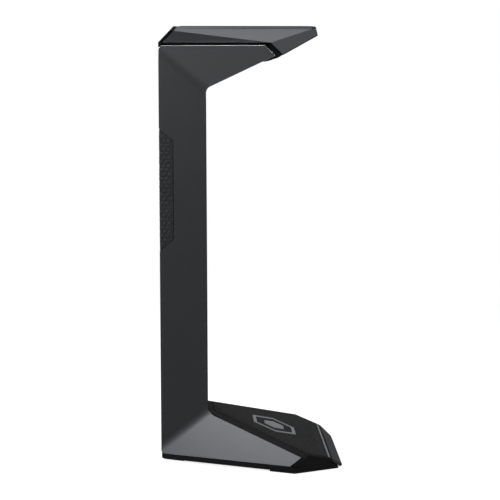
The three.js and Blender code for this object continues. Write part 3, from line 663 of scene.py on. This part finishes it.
def look_at(obj, position, target, roll=0.0):
    """Places a camera or light and turns its front to a target."""
    back = (Vector(position) - Vector(target)).normalized()
    turn = back.to_track_quat("Z", "Y").to_matrix().to_4x4()
    obj.matrix_world = Matrix.Translation(position) @ turn @ Matrix.Rotation(roll, 4, "Z")


def make_camera():
    """A camera on the stand's right, a little above it, as the CAMERA values say."""
    azimuth, elevation = math.radians(CAMERA["azimuth"]), math.radians(CAMERA["elevation"])
    back = Vector((
        math.sin(azimuth) * math.cos(elevation),
        -math.cos(azimuth) * math.cos(elevation),
        math.sin(elevation),
    ))
    data = bpy.data.cameras.new("camera")
    data.lens = CAMERA["lens"]
    data.sensor_width = CAMERA["sensor"]
    camera = bpy.data.objects.new("camera", data)
    bpy.context.scene.collection.objects.link(camera)
    target = Vector(CAMERA["target"])
    look_at(camera, target + back * CAMERA["distance"], target, math.radians(CAMERA["roll"]))
    bpy.context.scene.camera = camera


def make_floor():
    """A round sheet of white paper that the stand's light does not bounce off."""
    mesh = bmesh.new()
    bmesh.ops.create_circle(mesh, cap_ends=True, radius=FLOOR["radius"], segments=96)
    data = bpy.data.meshes.new("floor")
    mesh.to_mesh(data)
    mesh.free()
    data.materials.append(floor_material())
    floor = bpy.data.objects.new("floor", data)
    bpy.context.scene.collection.objects.link(floor)
    floor.visible_diffuse = False
    floor.visible_glossy = False
    floor.visible_shadow = False


def make_lights():
    for name, position, target, (width, height), power in SOFTBOXES:
        data = bpy.data.lights.new(name, "AREA")
        data.shape = "RECTANGLE"
        data.size = width
        data.size_y = height
        data.energy = power
        light = bpy.data.objects.new(name, data)
        bpy.context.scene.collection.objects.link(light)
        look_at(light, Vector(position), Vector(target))


def lobe_strength(tree, direction, side, start, amount):
    """Light that grows from nothing at the cosine `start` to `amount` straight towards `side`."""
    dot = tree.nodes.new("ShaderNodeVectorMath")
    dot.operation = "DOT_PRODUCT"
    dot.inputs[1].default_value = side
    tree.links.new(direction, dot.inputs[0])
    lobe = tree.nodes.new("ShaderNodeMapRange")
    lobe.interpolation_type = "SMOOTHSTEP"
    lobe.inputs["From Min"].default_value = start
    lobe.inputs["To Max"].default_value = amount
    tree.links.new(dot.outputs["Value"], lobe.inputs["Value"])
    return lobe.outputs["Result"]


def make_world():
    """White behind the stand, and soft light on it that is stronger from some sides."""
    world = bpy.data.worlds.new("studio")
    bpy.context.scene.world = world
    world.use_nodes = True
    tree = world.node_tree
    tree.nodes.clear()
    direction = tree.nodes.new("ShaderNodeTexCoord").outputs["Generated"]
    total = None
    for side, start, amount in WORLD_LOBES:
        add = tree.nodes.new("ShaderNodeMath")
        add.inputs[1].default_value = WORLD_EVEN
        if total:
            tree.links.new(total, add.inputs[1])
        tree.links.new(lobe_strength(tree, direction, side, start, amount), add.inputs[0])
        total = add.outputs["Value"]
    lit = tree.nodes.new("ShaderNodeBackground")
    tree.links.new(total, lit.inputs["Strength"])
    seen = tree.nodes.new("ShaderNodeBackground")
    seen.inputs["Color"].default_value = (*WHITE, 1.0)
    mix = tree.nodes.new("ShaderNodeMixShader")
    output = tree.nodes.new("ShaderNodeOutputWorld")
    paths = tree.nodes.new("ShaderNodeLightPath")
    tree.links.new(paths.outputs["Is Camera Ray"], mix.inputs["Fac"])
    tree.links.new(lit.outputs["Background"], mix.inputs[1])
    tree.links.new(seen.outputs["Background"], mix.inputs[2])
    tree.links.new(mix.outputs["Shader"], output.inputs["Surface"])


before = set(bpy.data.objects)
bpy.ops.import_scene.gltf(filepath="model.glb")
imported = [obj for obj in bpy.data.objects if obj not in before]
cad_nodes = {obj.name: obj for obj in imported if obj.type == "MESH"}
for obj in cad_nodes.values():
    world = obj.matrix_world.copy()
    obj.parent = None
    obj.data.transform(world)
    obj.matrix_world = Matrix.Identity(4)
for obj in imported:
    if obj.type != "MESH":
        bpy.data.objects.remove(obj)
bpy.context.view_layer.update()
bpy.context.scene.view_settings.view_transform = "Standard"
materials = make_materials()
build_stand()
finish_hidden_nodes()
make_floor()
make_lights()
make_world()
make_camera()
